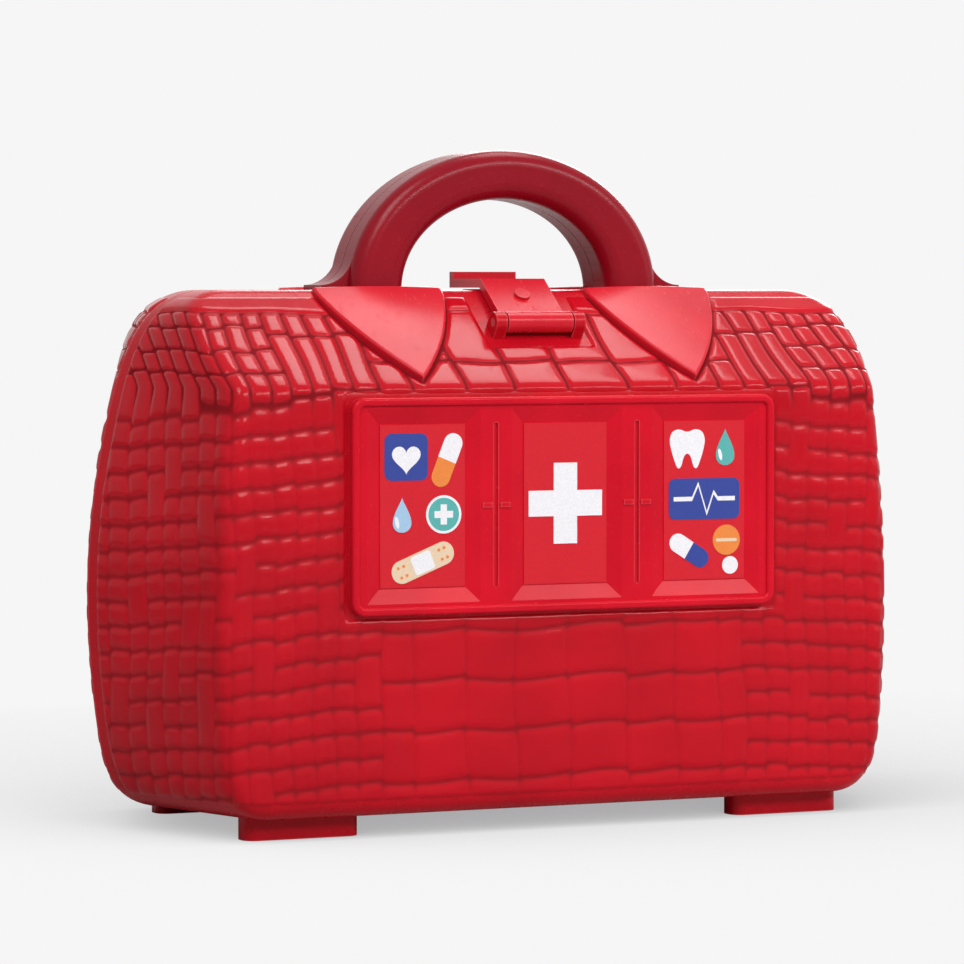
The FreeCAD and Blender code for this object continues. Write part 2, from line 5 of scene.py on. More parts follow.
import bmesh
import bpy
import numpy as np
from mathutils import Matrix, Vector
from mathutils.bvhtree import BVHTree


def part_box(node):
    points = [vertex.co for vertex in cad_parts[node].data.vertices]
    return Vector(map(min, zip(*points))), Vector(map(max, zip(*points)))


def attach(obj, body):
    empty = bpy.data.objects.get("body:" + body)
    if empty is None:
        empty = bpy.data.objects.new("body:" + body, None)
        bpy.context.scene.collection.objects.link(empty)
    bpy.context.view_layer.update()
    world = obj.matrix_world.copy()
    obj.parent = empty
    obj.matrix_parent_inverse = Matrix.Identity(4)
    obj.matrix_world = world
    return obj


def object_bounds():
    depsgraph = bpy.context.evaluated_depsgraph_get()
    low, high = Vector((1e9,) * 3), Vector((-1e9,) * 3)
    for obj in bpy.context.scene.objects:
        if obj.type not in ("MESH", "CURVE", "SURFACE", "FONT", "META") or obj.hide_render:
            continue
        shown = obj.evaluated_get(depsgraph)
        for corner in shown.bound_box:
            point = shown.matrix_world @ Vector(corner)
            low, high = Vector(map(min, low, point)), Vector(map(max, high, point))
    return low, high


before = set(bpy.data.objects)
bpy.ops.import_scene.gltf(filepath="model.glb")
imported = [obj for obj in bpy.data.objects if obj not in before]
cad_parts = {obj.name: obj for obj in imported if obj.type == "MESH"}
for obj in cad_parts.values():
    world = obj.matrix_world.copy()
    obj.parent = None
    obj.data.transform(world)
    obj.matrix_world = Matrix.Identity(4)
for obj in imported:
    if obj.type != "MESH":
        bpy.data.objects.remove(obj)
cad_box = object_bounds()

MM = 0.001
random.seed(7)

# Sizes of the case, in millimetres, the same as those of its solids.
PARTING_HALF_WIDTH = 124.0
FRONT_HALF_WIDTH = 102.0
FOOT_HEIGHT = 6.0
DECK_HEIGHT = 151.0
HALF_DEPTH = 48.0
DECK_HALF_DEPTH = 12.0
SLOPE_DROP = 27.0
SLOPE_LENGTH = math.hypot(HALF_DEPTH - DECK_HALF_DEPTH, SLOPE_DROP)
PANEL_HALF_LENGTH = 65.0
PANEL_BOTTOM = 61.5
PANEL_TOP = 121.5
TAB_X = 42.0
TAB_WIDTH = 39.0
TAB_SHOULDER = 3.4
TAB_BOW = (11.7, 24.85)
TAB_TIP = 42.4
WINDOW_SPACING = 43.4
LABEL_CENTRE_Z = 91.5

# Poles of the side outlines at the parting plane and at the front, as shares of half width and height.
PARTING_SIDE = [(0.82, 0.0), (0.96, 0.0), (1.0, 0.16), (1.03, 0.46), (0.97, 0.80), (0.87, 1.0), (0.72, 1.0)]
FRONT_SIDE = [(0.84, 0.0), (0.97, 0.0), (1.0, 0.16), (1.01, 0.46), (0.97, 0.80), (0.93, 1.0), (0.86, 1.0)]

# Colours, linear.
SHELL_RED = (0.50, 0.004, 0.013)
# The darker red of the skin's grooves is painted shade: the skin is all one plastic.
GROOVE_SHADE_RED = (0.20, 0.001, 0.005)
PANEL_RED = (0.62, 0.006, 0.020)
TAB_RED = (0.60, 0.012, 0.026)
# The handle's red is the case's red darkened: painted shade on the same plastic.
SHADED_HANDLE_RED = (0.26, 0.004, 0.013)
LABEL_RED = (0.62, 0.010, 0.022)
STEEL = (0.56, 0.56, 0.57)
BLACK = (0.0, 0.0, 0.0)
WHITE = (1.0, 1.0, 1.0)
PRINT_COLOURS = {
    "white": (0.84, 0.83, 0.86),
    "blue": (0.035, 0.060, 0.300),
    "teal": (0.10, 0.42, 0.40),
    "orange": (0.80, 0.24, 0.05),
    "cream": (0.78, 0.60, 0.42),
    "sky": (0.36, 0.55, 0.74),
}

# Darkest and lightest tone of each material, as shares of its colour, and the noise values for them.
PLASTIC_TONES = (0.90, 1.08)
INK_TONES = (0.93, 1.05)
STEEL_TONES = (0.85, 1.1)
TONE_RANGE = (0.3, 0.7)

# Strength of the gloss, and roughness from the smoothest to the dullest spots.
DULL = 0.15
SATIN = 0.10
BRIGHT = 0.17
FILM_GLOSS = 0.25
SHELL_ROUGH = (0.20, 0.32)
SKIN_ROUGH = (0.10, 0.20)
PANEL_ROUGH = (0.16, 0.26)
TAB_ROUGH = (0.18, 0.28)
HANDLE_ROUGH = (0.18, 0.30)
FILM_ROUGH = (0.30, 0.44)
STEEL_ROUGH = (0.25, 0.42)
GROOVE_ROUGH = 0.8

# Noise textures: how fine they are, and how much finer detail lies over them.
MOTTLE = (38.0, 3.0)
SMEAR = (120.0, 4.0)
GRAIN = (900.0, 2.0)
SCRATCHES = (700.0, 1.0)
# Patches along the edges, which are paled partly by wear and partly as painted highlight.
WEAR_AND_HIGHLIGHT_PATCHES = (260.0, 3.0)
INK_DOTS = (2600.0, 1.0)
FILM_SMEAR = (160.0, 3.0)
DRAWN_LINES = (1500.0, 2.0)
FLOOR_CLOUDS = (3.0, 2.0)

# Grain, painted shade in the grooves, scratches, and pale edges that are partly wear and partly painted
# highlight, with lengths in metres.
GRAIN_STRENGTH = 0.05
GRAIN_DEPTH = 0.0004
GROOVE_RANGE = (0.10, 0.50)
SCRATCH_TURNS = ((0.3, 0.9, 0.2), (1.1, 0.2, 2.0))
SCRATCH_STRETCH = (1.0, 0.04, 1.0)
SCRATCH_RANGE = (0.66, 0.74)
SCRATCH_DULLING = 0.09
WEAR_AND_HIGHLIGHT_REACH = 0.0007
WEAR_AND_HIGHLIGHT_SAMPLES = 8
WEAR_AND_HIGHLIGHT_UNEVEN = 0.12
WEAR_AND_HIGHLIGHT_RANGE = (0.45, 0.85)
WEAR_AND_HIGHLIGHT_PALER = 0.05


# Materials

def new_material(name):
    """A new node material, its tree and its shader."""
    material = bpy.data.materials.new(name)
    material.use_nodes = True
    tree = material.node_tree
    return material, tree, tree.nodes["Principled BSDF"]


def object_place(tree):
    """Place on the object, in its own coordinates."""
    return tree.nodes.new("ShaderNodeTexCoord").outputs["Object"]


def noise(tree, scale, detail, place=None):
    """A noise texture laid over the object."""
    texture = tree.nodes.new("ShaderNodeTexNoise")
    texture.inputs["Scale"].default_value = scale
    texture.inputs["Detail"].default_value = detail
    tree.links.new(place or object_place(tree), texture.inputs["Vector"])
    return texture.outputs["Fac"]


def ramp(tree, source, low, high, between=TONE_RANGE):
    """A colour ramp between two colours."""
    node = tree.nodes.new("ShaderNodeValToRGB")
    for element, position, colour in zip(node.color_ramp.elements, between, (low, high)):
        element.position = position
        element.color = (*colour, 1.0)
    tree.links.new(source, node.inputs["Fac"])
    return node.outputs["Color"]


def spread(tree, source, to_range, from_range=(0.0, 1.0)):
    """Maps a value from one range to another."""
    node = tree.nodes.new("ShaderNodeMapRange")
    node.inputs["From Min"].default_value, node.inputs["From Max"].default_value = from_range
    node.inputs["To Min"].default_value, node.inputs["To Max"].default_value = to_range
    tree.links.new(source, node.inputs["Value"])
    return node.outputs["Result"]


def combine(tree, operation, first, second):
    """Adds two values, or takes the greater."""
    node = tree.nodes.new("ShaderNodeMath")
    node.operation = operation
    tree.links.new(first, node.inputs[0])
    tree.links.new(second, node.inputs[1])
    return node.outputs["Value"]


def blend(tree, factor, low, high):
    """Mixes from a fixed colour to a linked one."""
    node = tree.nodes.new("ShaderNodeMix")
    node.data_type = "RGBA"
    node.inputs["A"].default_value = (*low, 1.0)
    tree.links.new(factor, node.inputs["Factor"])
    tree.links.new(high, node.inputs["B"])
    return node.outputs["Result"]


def shade(colour, factor):
    """A colour made darker or lighter."""
    return tuple(min(1.0, c * factor) for c in colour)


def paler(colour, share):
    """A colour moved towards white."""
    return tuple(c + share * (1.0 - c) for c in colour)


def mottled(tree, colour, texture, tones):
    """A colour that varies in tone."""
    dark, light = tones
    return ramp(tree, noise(tree, *texture), shade(colour, dark), shade(colour, light))


def uneven_gloss(tree, texture, rough):
    """A roughness that varies over the surface."""
    return spread(tree, noise(tree, *texture), rough)


def add_scratches(tree, roughness, turn):
    """Faint hairline scratches that dull the gloss."""
    stretch = tree.nodes.new("ShaderNodeMapping")
    stretch.inputs["Rotation"].default_value = turn
    stretch.inputs["Scale"].default_value = SCRATCH_STRETCH
    tree.links.new(object_place(tree), stretch.inputs["Vector"])
    lines = noise(tree, *SCRATCHES, stretch.outputs["Vector"])
    return combine(tree, "ADD", roughness, spread(tree, lines, (0.0, SCRATCH_DULLING), SCRATCH_RANGE))


def groove_mask(tree):
    """0 in the grooves of the skin, 1 on its tiles. It places the painted shade and the dullness of the
    grooves.
    """
    height = tree.nodes.new("ShaderNodeAttribute")
    height.attribute_name = "relief"
    return ramp(tree, height.outputs["Fac"], BLACK, WHITE, GROOVE_RANGE)


def worn_and_highlit_edges(tree, tone, worn_and_lit_colour):
    """Paler colour in patches along the outer edges, which show as little depth under the surface. It is
    partly wear and partly a painted highlight where edges catch light.
    """
    depth = tree.nodes.new("ShaderNodeAmbientOcclusion")
    depth.inside = True
    depth.only_local = True
    depth.samples = WEAR_AND_HIGHLIGHT_SAMPLES
    depth.inputs["Distance"].default_value = WEAR_AND_HIGHLIGHT_REACH
    patches = spread(tree, noise(tree, *WEAR_AND_HIGHLIGHT_PATCHES), (-WEAR_AND_HIGHLIGHT_UNEVEN, WEAR_AND_HIGHLIGHT_UNEVEN))
    unworn_and_unlit = ramp(tree, combine(tree, "ADD", depth.outputs["AO"], patches), BLACK, WHITE, WEAR_AND_HIGHLIGHT_RANGE)
    return blend(tree, unworn_and_unlit, worn_and_lit_colour, tone)


def add_grain(tree, shader):
    """Fine waves of the moulded surface."""
    wave = tree.nodes.new("ShaderNodeBump")
    wave.inputs["Strength"].default_value = GRAIN_STRENGTH
    wave.inputs["Distance"].default_value = GRAIN_DEPTH
    tree.links.new(noise(tree, *GRAIN), wave.inputs["Height"])
    tree.links.new(wave.outputs["Normal"], shader.inputs["Normal"])


def plastic(name, colour, rough, gloss_level, painted_groove_shade=None):
    """Moulded plastic: mottled, unevenly glossy, faintly scratched, with painted shade in its grooves, or
    else with pale edges that are partly wear and partly painted highlight.
    """
    material, tree, shader = new_material(name)
    tone = mottled(tree, colour, MOTTLE, PLASTIC_TONES)
    roughness = uneven_gloss(tree, SMEAR, rough)
    for turn in SCRATCH_TURNS:
        roughness = add_scratches(tree, roughness, turn)
    if painted_groove_shade:
        mask = groove_mask(tree)
        # Painted shade: the grooves of the skin get a darker red.
        tone = blend(tree, mask, painted_groove_shade, tone)
        roughness = blend(tree, mask, (GROOVE_ROUGH,) * 3, roughness)
    else:
        # Pale edges: partly wear, partly painted highlight.
        tone = worn_and_highlit_edges(tree, tone, paler(colour, WEAR_AND_HIGHLIGHT_PALER))
    tree.links.new(tone, shader.inputs["Base Color"])
    tree.links.new(roughness, shader.inputs["Roughness"])
    shader.inputs["Specular IOR Level"].default_value = gloss_level
    add_grain(tree, shader)
    return material


def print_ink(name, colour):
    """Printed film: nearly even ink with a fine dot grain under a satin film."""
    material, tree, shader = new_material(name)
    tree.links.new(mottled(tree, colour, INK_DOTS, INK_TONES), shader.inputs["Base Color"])
    tree.links.new(uneven_gloss(tree, FILM_SMEAR, FILM_ROUGH), shader.inputs["Roughness"])
    shader.inputs["Specular IOR Level"].default_value = FILM_GLOSS
    return material


def steel(name):
    """Drawn steel wire."""
    material, tree, shader = new_material(name)
    tree.links.new(mottled(tree, STEEL, DRAWN_LINES, STEEL_TONES), shader.inputs["Base Color"])
    tree.links.new(uneven_gloss(tree, DRAWN_LINES, STEEL_ROUGH), shader.inputs["Roughness"])
    shader.inputs["Metallic"].default_value = 1.0
    return material


MATERIALS = {
    "shell": plastic("shell_plastic", SHELL_RED, SHELL_ROUGH, DULL),
    "skin": plastic("embossed_plastic", SHELL_RED, SKIN_ROUGH, DULL, GROOVE_SHADE_RED),
    "panel": plastic("panel_plastic", PANEL_RED, PANEL_ROUGH, SATIN),
    "tab": plastic("tab_plastic", TAB_RED, TAB_ROUGH, BRIGHT),
    # The handle's darker red is painted shade.
    "handle": plastic("handle_plastic", SHADED_HANDLE_RED, HANDLE_ROUGH, DULL),
    "clasp": plastic("clasp_plastic", TAB_RED, TAB_ROUGH, BRIGHT),
    "label": print_ink("label_film", LABEL_RED),
    "pin": steel("pin_steel"),
}
for ink, ink_colour in PRINT_COLOURS.items():
    MATERIALS[ink] = print_ink("print_" + ink, ink_colour)

NODE_MATERIALS = {
    "front_shell": "shell", "rear_shell": "shell",
    "front_handle": "handle", "rear_handle": "handle",
    "front_left_tab": "tab", "front_right_tab": "tab", "rear_left_tab": "tab", "rear_right_tab": "tab",
    "sticker_panel": "panel",
    "left_sticker": "label", "cross_sticker": "label", "right_sticker": "label",
    "clasp": "clasp", "clasp_pin": "pin", "left_hinge_pin": "pin", "right_hinge_pin": "pin",
}

# Width of the fine rounding of edges, in millimetres, its steps, and the bend from which an edge gets it.
ROUND_EDGES = {"sticker_panel": 0.35, "clasp": 0.5, "front_shell": 0.25, "rear_shell": 0.25}
ROUND_STEPS = 3
ROUND_FROM_DEGREES = 28.0


def dress_nodes():
    """Gives every solid its material."""
    for node, material in NODE_MATERIALS.items():
        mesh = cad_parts[node].data
        mesh.materials.clear()
        mesh.materials.append(MATERIALS[material])


def round_edges():
    """Takes the sharpness off the moulded edges."""
    for node, width in ROUND_EDGES.items():
        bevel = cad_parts[node].modifiers.new("soft_edges", "BEVEL")
        bevel.width = width * MM
        bevel.segments = ROUND_STEPS
        bevel.limit_method = "ANGLE"
        bevel.angle_limit = math.radians(ROUND_FROM_DEGREES)
        bevel.harden_normals = True


# Embossed skins

# Grid of a skin, in millimetres, with a back that is coarser by a whole number of steps.
GRID_STEP = 0.72
BACK_STRIDE = 8
BACK_DEPTH = 0.9
TURNED_OVER = [0, 3, 2, 1]
CURVE_POINTS = 6001
WIDTH_POINTS = 2001
SMOOTHING_ROUNDS = 4
LOW_MARGIN = 3.0
TOP_MARGIN = 2.0

# Where the skin sinks into the shell: at its ends, at the seam, and round what sits on the shell.
SUNK = -0.25
FADE = 1.6
END_BAND = 0.8
SEAM_BAND = 3.2
PANEL_BAND = 0.3
CLASP_BAND = 0.2
TAB_TUCK = 1.2
TAB_GROOVE = 1.3

# Smooth bed round the clasp, with its ends as distances below the rim.
CLASP_BED_HALF_WIDTH = 15.0
CLASP_BED_TOP = -9.0
CLASP_BED_BOTTOM = 26.0

# Heights of tiles and grooves. Relief is about 1 on a tile, and the tile height turns it into millimetres.
TILE_HEIGHT = 0.60
GROOVE_FLOOR = 0.16
FRONT_CALM = 0.2
FRONT_BEND = 8.0
TILE_TOP = 0.82
TILE_LIFT = 0.12
TILT = 0.22
DOME = 0.24
DOME_REACH = 0.4
FULL_DOME_WIDTH = 15.0
CALM_FROM = 70.0
CALM_REACH = 45.0

# Edges of the tiles, and how much a point outweighs each neighbour when the relief is softened.
GROOVE_HALF = 0.25
TILE_EDGE = 0.95
EDGE_SHARE = 0.21
UPPER_LIP = 2.1
UPRIGHT_SHARE = 0.7
OWN_WEIGHT = 6

# Plain band below the rim, the groove that ends it, and the size, length and start of the groove's waves.
PLAIN_BAND = 11.2
BAND_RELIEF = 1.35
BAND_DROP = 0.72
BAND_GROOVE = 1.3
BAND_WAVES = [(0.7, 13.0, 0.0), (0.4, 4.7, 2.0)]

# Lines between the columns of tiles: the first one, and the widths at distances from the middle.
FIRST_COLUMN = 1.9
COLUMN_PLACES = [0.0, 34.0, 50.0, 60.0, 95.0, 150.0]
COLUMN_WIDTHS = [16.8, 15.0, 8.0, 6.7, 6.2, 7.6]
COLUMN_VARIETY = (0.92, 1.08)
SPARE_REACH = 20

# Waves of those lines: size, length down the case, length across it, and start.
COLUMN_WAVES = [(0.8, 15.0, 60.0, 0.0), (0.5, 6.3, 9.0, 1.3)]

# Lines between the rows of tiles, as distances below the rim: on the slope, then evenly down the front.
MIDDLE_ROWS = [33.5]
NEAR_ROWS = [21.5, 46.0]
SIDE_ROWS = [17.5, 28.0, 38.0, 48.5]
MIDDLE_REACH = 58.0
NEAR_REACH = 78.0
FIRST_FRONT_ROW = 55.5
MIDDLE_STEP = 14.0
SIDE_STEP = 7.0
SPARE_ROWS = 3
SLOPE_JOG = 1.1
FRONT_JOG = 0.5
JOINED_SHARE = 0.07
ROW_SLANT = 0.08
ROW_WAVE = 0.035
ROW_WAVE_LENGTH = 0.32
ROW_WAVE_STARTS = 6.3


def spline(poles, at):
    """A clamped even cubic B-spline at parameters from 0 to 1."""
    degree = 3
    spans = len(poles) - degree
    knots = [0] * degree + list(range(spans + 1)) + [spans] * degree
    x = np.clip(at * spans, 0.0, spans - 1e-9)
    basis = [((x >= knots[i]) & (x < knots[i + 1])).astype(float) for i in range(len(knots) - 1)]
    for order in range(1, degree + 1):
        rising = []
        for i in range(len(basis) - 1):
            part = np.zeros_like(x)
            if knots[i + order] > knots[i]:
                part += (x - knots[i]) / (knots[i + order] - knots[i]) * basis[i]
            if knots[i + order + 1] > knots[i + 1]:
                part += (knots[i + order + 1] - x) / (knots[i + order + 1] - knots[i + 1]) * basis[i + 1]
            rising.append(part)
        basis = rising
    return sum(b[:, None] * np.array(p) for b, p in zip(basis, poles))


def side_curve(poles, half_width, at):
    """x and z of one side outline of the body."""
    curve = spline(poles, at)
    widest = spline(poles, np.linspace(0.0, 1.0, WIDTH_POINTS))[:, 0].max()
    x = curve[:, 0] * half_width / widest
    z = FOOT_HEIGHT + curve[:, 1] * (DECK_HEIGHT - FOOT_HEIGHT)
    return x, z


def skin_outlines():
    """Seam and front corner of the half body, from the bottom up and paired point by point."""
    at = np.linspace(0.0, 1.0, CURVE_POINTS)
    seam_x, seam_z = side_curve(PARTING_SIDE, PARTING_HALF_WIDTH, at)
    front_x, front_z = side_curve(FRONT_SIDE, FRONT_HALF_WIDTH, at)
    rise = SLOPE_DROP / (HALF_DEPTH - DECK_HALF_DEPTH)
    slope_zero = DECK_HEIGHT + rise * DECK_HALF_DEPTH
    share = (slope_zero - seam_z) / (front_z - seam_z + rise * HALF_DEPTH)
    share = np.where(front_z <= DECK_HEIGHT - SLOPE_DROP, 1.0, np.clip(share, 0.0, 1.0))
    corner_x = seam_x + share * (front_x - seam_x)
    corner_z = seam_z + share * (front_z - seam_z)
    corner = np.stack([corner_x, -HALF_DEPTH * share, corner_z], 1)
    seam = np.stack([seam_x, np.zeros_like(seam_x), seam_z], 1)
    return seam, corner


def even_count(length):
    """Grid points along a length, so that the coarse back fits the grid."""
    return int(round(length / GRID_STEP / BACK_STRIDE)) * BACK_STRIDE + 1


def points_at(level, height, points):
    """Points of an outline at given levels."""
    return np.stack([np.interp(level, height, points[:, k]) for k in range(3)], 1)


def skin_rows():
    """Seam end and front corner of each row of the grid, evenly spaced up the front and slope."""
    seam, corner = skin_outlines()
    step = np.hypot(np.diff(corner[:, 1]), np.diff(corner[:, 2]))
    height = np.concatenate([[0.0], np.cumsum(step)])
    count = even_count(height[-1] - LOW_MARGIN - TOP_MARGIN)
    level = np.linspace(LOW_MARGIN, height[-1] - TOP_MARGIN, count)
    return level, points_at(level, height, seam), points_at(level, height, corner)


def skin_grid(shell_tree):
    """Points of the skin's grid on the shell, with their level, place across and distance to the seam."""
    level, seam, corner = skin_rows()
    widest = (corner[:, 0] + np.linalg.norm(seam - corner, axis=1)).max()
    columns = even_count(2 * widest)
    share = np.linspace(-1.0, 1.0, columns)
    points = np.zeros((len(level), columns, 3))
    across = np.zeros((len(level), columns))
    to_seam = np.zeros((len(level), columns))
    for i in range(len(level)):
        flank = np.linalg.norm(seam[i] - corner[i])
        reach = corner[i, 0] + flank
        u = share * reach
        out = np.clip((np.abs(u) - corner[i, 0]) / flank, 0.0, 1.0)
        line = corner[i] + out[:, None] * (seam[i] - corner[i])
        points[i] = line
        points[i, :, 0] = np.where(np.abs(u) < corner[i, 0], u, np.sign(u) * line[:, 0])
        across[i] = u
        to_seam[i] = reach - np.abs(u)
    grid = smooth_grid(laid_on(points, shell_tree))
    return grid, np.repeat(level[:, None], columns, 1), across, to_seam


def laid_on(points, shell_tree):
    """Moves each point to the nearest one of the shell."""
    flat = points.reshape(-1, 3)
    for k, point in enumerate(flat):
        nearest = shell_tree.find_nearest(Vector(point) * MM)[0]
        flat[k] = np.array(nearest) / MM
    return flat.reshape(points.shape)


def smooth_grid(grid):
    """Evens out the facets of the shell under the grid."""
    for _ in range(SMOOTHING_ROUNDS):
        mean = grid.copy()
        mean[1:-1, 1:-1] = (grid[:-2, 1:-1] + grid[2:, 1:-1] + grid[1:-1, :-2] + grid[1:-1, 2:]) / 4
        grid = mean
    return grid


def grid_normals(grid):
    """Outward unit normals of the grid."""
    along = np.gradient(grid, axis=1)
    up = np.gradient(grid, axis=0)
    normal = np.cross(along, up)
    return normal / np.linalg.norm(normal, axis=2, keepdims=True)


def smoothstep(x):
    """A soft step from 0 to 1."""
    x = np.clip(x, 0.0, 1.0)
    return x * x * (3 - 2 * x)


def front_share(down):
    """0 on the slope, 1 on the upright front."""
    return smoothstep((down - SLOPE_LENGTH) / FRONT_BEND)


def column_lines(reach):
    """Where the tile columns meet, wide in the middle, narrow at the flanks."""
    lines = [FIRST_COLUMN]
    for side in (-1, 1):
        place = side * FIRST_COLUMN
        while place < reach:
            place += np.interp(place, COLUMN_PLACES, COLUMN_WIDTHS) * random.uniform(*COLUMN_VARIETY)
            lines.append(side * place)
    return np.array(sorted(lines))


def tile_rows(place, depth):
    """Distances below the rim at which the tiles of one column meet."""
    step = SIDE_STEP
    if place < MIDDLE_REACH:
        slope_rows, step = MIDDLE_ROWS, MIDDLE_STEP
    elif place < NEAR_REACH:
        slope_rows = NEAR_ROWS
    else:
        slope_rows = SIDE_ROWS
    rows = [-step] + [row + random.uniform(-SLOPE_JOG, SLOPE_JOG) for row in slope_rows]
    for row in np.arange(FIRST_FRONT_ROW, depth + SPARE_ROWS * step, step):
        if random.random() > JOINED_SHARE or step > SIDE_STEP:
            rows.append(row + random.uniform(-FRONT_JOG, FRONT_JOG))
    return np.array(rows)


def tile_relief(down, across):
    """Height of the crocodile tiles, from 0 in the grooves to about 1 on the tiles."""
    lines = column_lines(np.abs(across).max() + SPARE_REACH)
    sway = np.zeros_like(across)
    for size, length_down, length_across, start in COLUMN_WAVES:
        sway += size * np.sin(down / length_down + across / length_across + start)
    u = across + sway
    column = np.searchsorted(lines, u)
    relief = np.zeros_like(u)
    for c in range(1, len(lines)):
        here = column == c
        if here.any():
            relief[here] = column_relief(u[here], down[here], lines[c - 1], lines[c])
    return relief


def column_relief(u, down, left, right):
    """Height of the tiles of one column."""
    wide = right - left
    on_front = front_share(down)
    breaks = tile_rows(abs(left + right) / 2, down.max())
    start = random.uniform(0.0, ROW_WAVE_STARTS)
    slant = ROW_SLANT * np.maximum(np.abs(u) - PANEL_HALF_LENGTH, 0.0) * on_front
    v = down - slant + ROW_WAVE * wide * np.sin(u / (ROW_WAVE_LENGTH * wide) + start)
    row = np.clip(np.searchsorted(breaks, v), 1, len(breaks) - 1)
    top, bottom = breaks[row - 1], breaks[row]
    below_top, above_bottom = v - top, bottom - v
    inward = np.minimum(u - left, right - u)
    lift, lean, nod = (np.array([random.uniform(-1.0, 1.0) for _ in breaks]) for _ in range(3))
    dome = tile_dome(np.minimum(inward, np.minimum(below_top, above_bottom)), down, wide, on_front)
    tilt = lean[row] * ((u - left) / wide - 0.5) + nod[row] * (below_top / (bottom - top) - 0.5)
    surface = TILE_TOP + dome + TILE_LIFT * lift[row] + TILT * tilt
    return tile_edges(inward, below_top, above_bottom, wide, on_front) * surface


def tile_dome(inward, down, wide, on_front):
    """Bulge of a tile. Narrow tiles are flatter, except high on the front."""
    narrow = min(1.0, wide / FULL_DOME_WIDTH)
    calm = smoothstep((down - CALM_FROM) / CALM_REACH)
    fullness = narrow + (1.0 - narrow) * on_front * (1.0 - calm)
    return DOME * fullness * smoothstep(inward / (DOME_REACH * wide))


def tile_edges(inward, below_top, above_bottom, wide, on_front):
    """Rise of a tile out of the grooves, with a broad upper lip and shallow uprights on the front."""
    edge = min(TILE_EDGE, EDGE_SHARE * wide)
    upper_edge = edge + (UPPER_LIP - edge) * on_front
    upright = 1.0 - (1.0 - UPRIGHT_SHARE) * on_front
    past_top = 1.0 - (below_top - GROOVE_HALF) / upper_edge
    past_bottom = 1.0 - (above_bottom - GROOVE_HALF) / edge
    past_side = 1.0 - (inward - GROOVE_HALF) / edge
    past_row = np.clip(np.maximum(past_top, past_bottom), 0.0, 1.0)
    return smoothstep(1.0 - np.hypot(upright * np.clip(past_side, 0.0, 1.0), past_row))


def plain_band(relief, down, across):
    """Smooths the strip below the deck and cuts the wavy groove that ends it."""
    line = np.full_like(across, PLAIN_BAND)
    for size, length, start in BAND_WAVES:
        line += size * np.sin(across / length + start)
    groove = smoothstep(np.abs(down - line) / BAND_GROOVE)
    return groove * np.where(down < line, BAND_RELIEF, relief)


def soften(field):
    """Averages each value with its neighbours, so that slanting grooves run evenly over the grid."""
    for axis in (0, 1):
        around = np.roll(field, 1, axis) + OWN_WEIGHT * field + np.roll(field, -1, axis)
        field = around / (OWN_WEIGHT + 2)
    return field


def circle_through(points):
    """Centre and radius of the circle through three points."""
    first, second, third = np.array(points)
    sides = 2 * np.array([second - first, third - first])
    squares = np.array([second @ second - first @ first, third @ third - first @ first])
    centre = np.linalg.solve(sides, squares)
    return centre, np.linalg.norm(first - centre)


def tab_outside(x, down):
    """Distance outside the pointed tab's outline on the slope, negative within."""
    centre, radius = circle_through([(TAB_WIDTH / 2, TAB_SHOULDER), TAB_BOW, (0.0, TAB_TIP)])
    arc = np.hypot(np.abs(x) - centre[0], down - centre[1]) - radius
    return np.maximum(arc, np.abs(x) - TAB_WIDTH / 2)


def box_outside(x, y, half_x, low, high):
    """Distance outside a rectangle, negative within."""
    return np.maximum(np.abs(x) - half_x, np.maximum(low - y, y - high))


def skin_height(grid, level, across, to_seam, is_front):
    """Height of the skin over the shell, and the relief that places its painted groove shade."""
    x, z = grid[:, :, 0], grid[:, :, 2]
    down = level.max() + TOP_MARGIN - level
    relief = soften(plain_band(tile_relief(down, across), down, across))
    keep = smoothstep((to_seam - SEAM_BAND) / FADE)
    from_bottom = smoothstep((level - level.min() - END_BAND) / FADE)
    keep *= from_bottom * smoothstep((level.max() - level - END_BAND) / FADE)
    for side in (-1, 1):
        outside = tab_outside(x - side * TAB_X, down)
        keep *= smoothstep((outside + TAB_TUCK) / TAB_TUCK * 2)
        relief *= smoothstep((outside - TAB_GROOVE / 3) / TAB_GROOVE)
    if is_front:
        from_panel = box_outside(x, z, PANEL_HALF_LENGTH, PANEL_BOTTOM, PANEL_TOP)
        from_clasp = box_outside(x, down, CLASP_BED_HALF_WIDTH, CLASP_BED_TOP, CLASP_BED_BOTTOM)
        keep *= smoothstep((from_panel - PANEL_BAND) / FADE)
        keep *= smoothstep((from_clasp - CLASP_BAND) / FADE)
    calm = 1 - FRONT_CALM * front_share(down)
    tiles = GROOVE_FLOOR + relief * TILE_HEIGHT * calm
    tiles -= BAND_DROP * relief * np.clip(1 - down / PLAIN_BAND, 0.0, 1.0)
    # The second value places the painted shade in the grooves, fainter on the front.
    return SUNK + keep * (tiles - SUNK), 1 - keep * (1 - relief) * calm


def cells(index):
    """Corners of each cell of a grid, in order round it."""
    corners = [index[:-1, :-1], index[:-1, 1:], index[1:, 1:], index[1:, :-1]]
    return np.stack(corners, 2).reshape(-1, 4)


def rim_faces(edge, behind):
    """Faces between a run of face points and the coarse run behind it."""
    faces = []
    for k in range(len(behind) - 1):
        run = edge[k * BACK_STRIDE:(k + 1) * BACK_STRIDE + 1].tolist()
        faces.append(run[::-1] + [int(behind[k]), int(behind[k + 1])])
    return faces


def skin_faces(index, behind):
    """Faces of a skin: the fine face, the coarse back and the four rims."""
    faces = cells(index).tolist() + cells(behind)[:, TURNED_OVER].tolist()
    faces += rim_faces(index[0], behind[0]) + rim_faces(index[-1][::-1], behind[-1][::-1])
    faces += rim_faces(index[:, -1], behind[:, -1]) + rim_faces(index[::-1, 0], behind[::-1, 0])
    return faces


